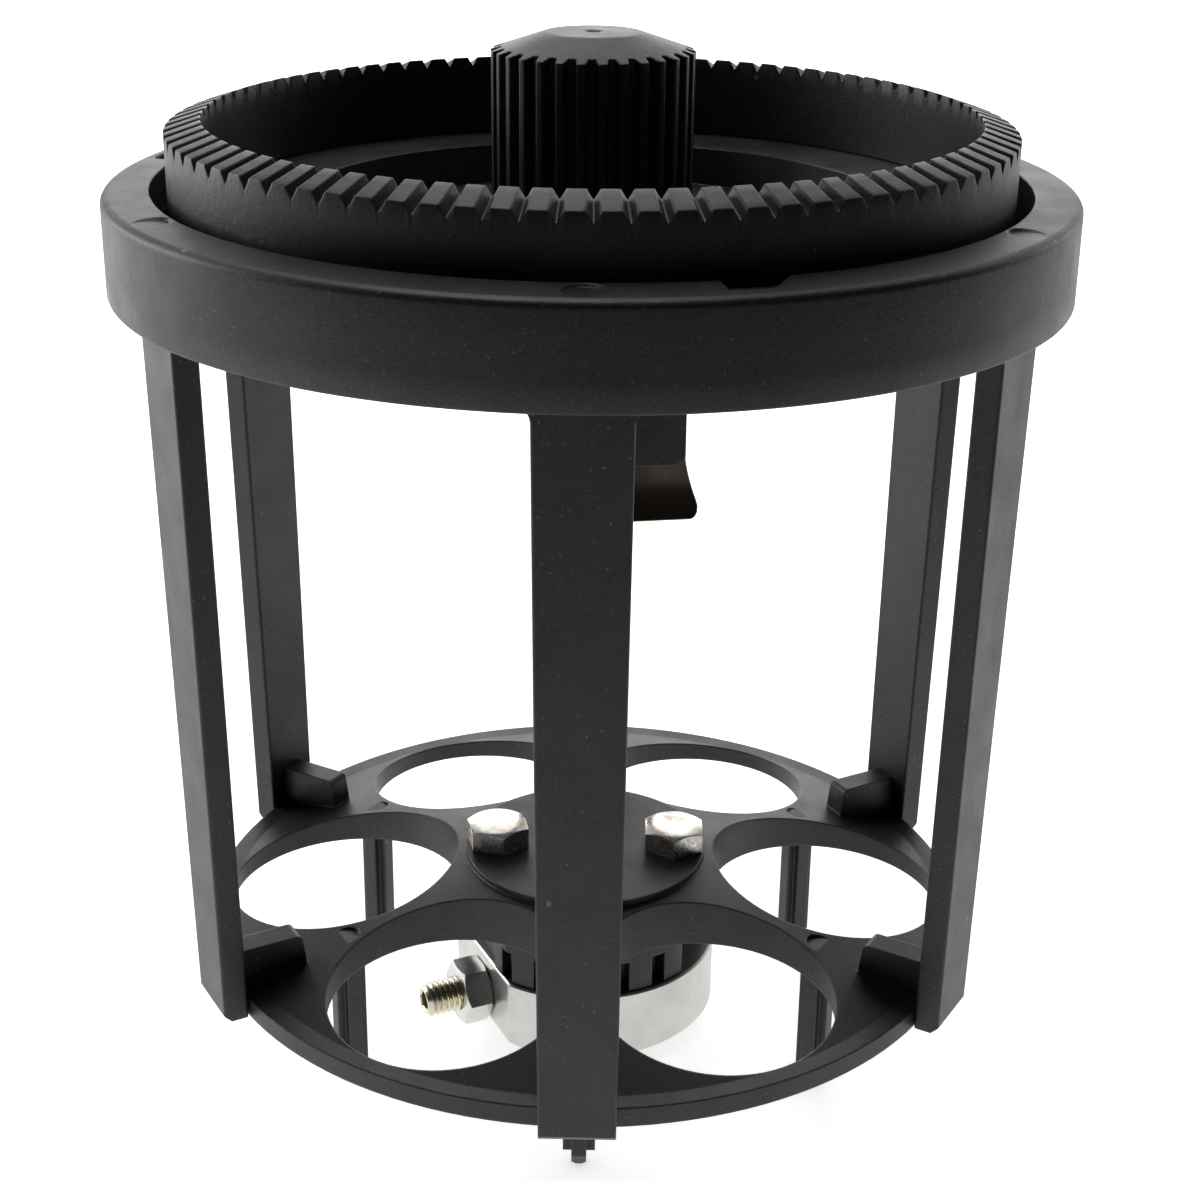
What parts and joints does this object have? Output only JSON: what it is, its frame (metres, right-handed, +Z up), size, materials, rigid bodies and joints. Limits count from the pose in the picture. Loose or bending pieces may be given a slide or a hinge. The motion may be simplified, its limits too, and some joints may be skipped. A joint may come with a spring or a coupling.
{
  "type": "film developing tank carrier",
  "caption": "Open rotary film tube carrier for a darkroom processor, a cage of struts on a clamping hub with a crown-toothed drive ring, a fluted centre pinion and a stirrer blade",
  "frame": {"origin": "on the cage's axis at the level of the leg tips, the middle of the box's underside", "axes": "+Z up along the axis of the cage and of both joints; the first strut faces -Y; +X is to the right when that strut is in front"},
  "size_m": [0.15, 0.15, 0.1732],
  "materials": {
    "black_nylon": "moulded, fine grain",
    "stainless": "satin, turned",
    "white_plastic": "plain, slippery",
    "spring_steel": "oiled, dark",
    "bronze": "rolled sheet"
  },
  "bodies": {
    "cage": {"collar": "black_nylon", "strut_1": "black_nylon", "strut_2": "black_nylon", "strut_3": "black_nylon", "strut_4": "black_nylon", "strut_5": "black_nylon", "strut_6": "black_nylon", "carrier_plate": "black_nylon", "leg_1": "black_nylon", "leg_2": "black_nylon", "leg_3": "black_nylon", "leg_4": "black_nylon", "leg_5": "black_nylon", "leg_6": "black_nylon", "hub": "black_nylon", "hub_screws": "stainless", "clamp_ring": "stainless", "clamp_screw": "stainless", "clamp_nut": "stainless", "glide_ring": "white_plastic"},
    "rotor": {"crown_gear": "black_nylon", "drive_disc": "black_nylon", "disc_snap_ring": "spring_steel", "spindle_bush": "white_plastic", "upper_thrust_washer": "white_plastic"},
    "stirrer": {"sun_pinion": "black_nylon", "spindle": "stainless", "lower_thrust_washer": "white_plastic", "stirrer_arm": "black_nylon", "arm_pin": "stainless", "spindle_clip": "spring_steel", "stirrer_blade": "bronze", "blade_clamp": "black_nylon", "blade_screws": "stainless"}
  },
  "joints": [
    {"name": "ring_turn", "type": "hinge", "parent": "cage", "child": "rotor", "pos_m": [0, 0, 0.144], "axis": [0, 0, 1], "continuous": true},
    {"name": "pinion_turn", "type": "hinge", "parent": "rotor", "child": "stirrer", "pos_m": [0, 0, 0.139], "axis": [0, 0, 1], "continuous": true}
  ]
}
